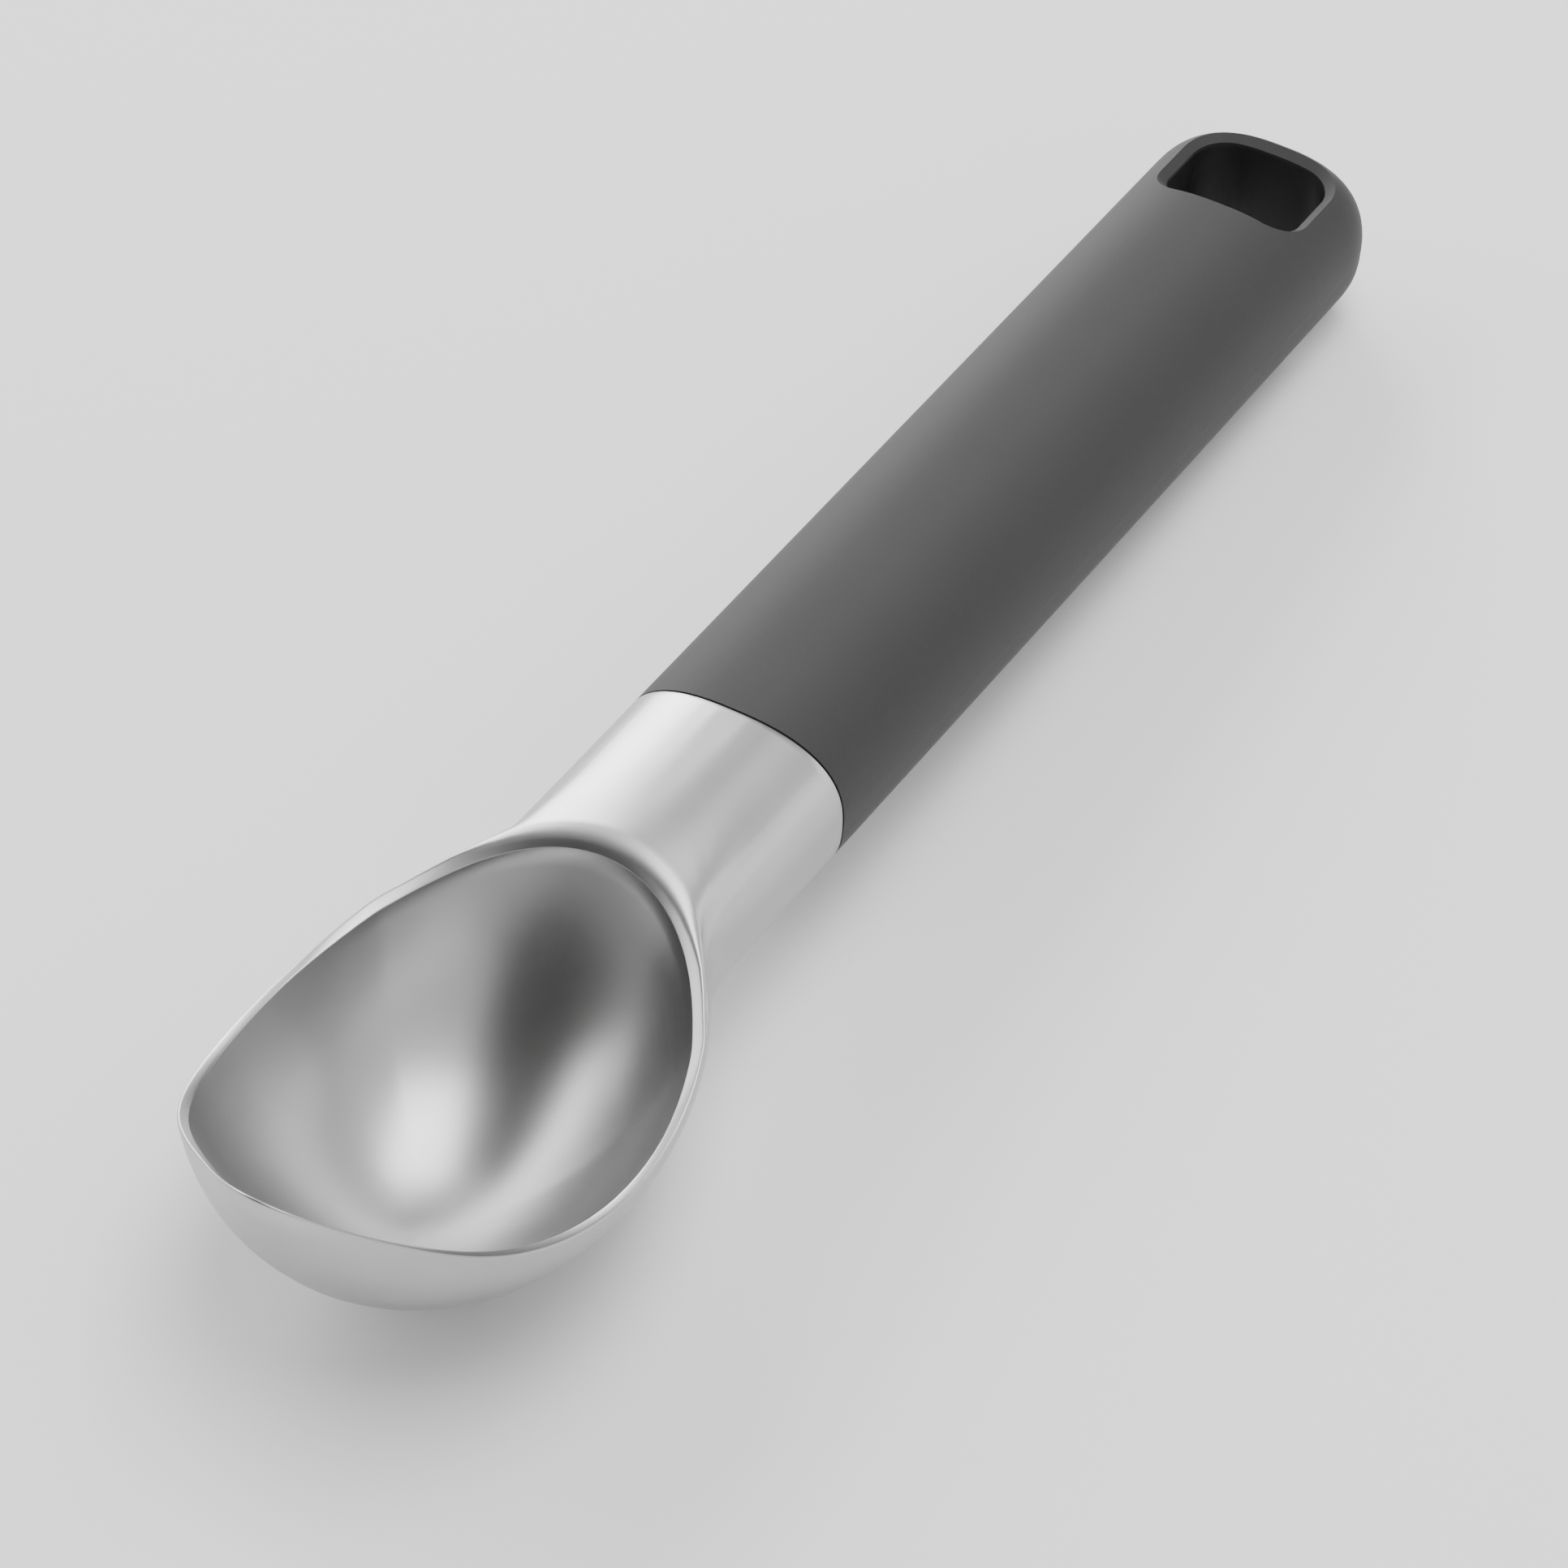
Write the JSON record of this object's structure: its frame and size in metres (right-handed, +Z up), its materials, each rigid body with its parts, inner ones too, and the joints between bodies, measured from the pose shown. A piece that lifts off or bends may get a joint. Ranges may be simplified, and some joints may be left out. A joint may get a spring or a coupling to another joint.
{
  "type": "ice cream scoop",
  "caption": "Rigid ice cream scoop: egg-shaped cast metal bowl with a thin pointed lip, and an oval soft-skinned handle with a hang hole through its end.",
  "frame": {"origin": "middle of the scoop's length and width, on the table it lies on", "axes": "+X along the handle towards the bowl's nose, +Y across, +Z up from the table"},
  "size_m": [0.2243, 0.0492, 0.0375],
  "materials": {
    "cast_aluminium": "fine satin, tumbled casting",
    "soft_skin": "matte charcoal, soft to the touch",
    "hard_core": "near-black moulded plastic",
    "gasket": "black elastomer",
    "pin_steel": "drawn steel rod"
  },
  "bodies": {
    "root": {"scoop_head": "cast_aluminium", "grip_sleeve": "soft_skin", "handle_core": "hard_core", "seal_ring": "gasket", "tang_pin": "pin_steel"}
  },
  "joints": []
}
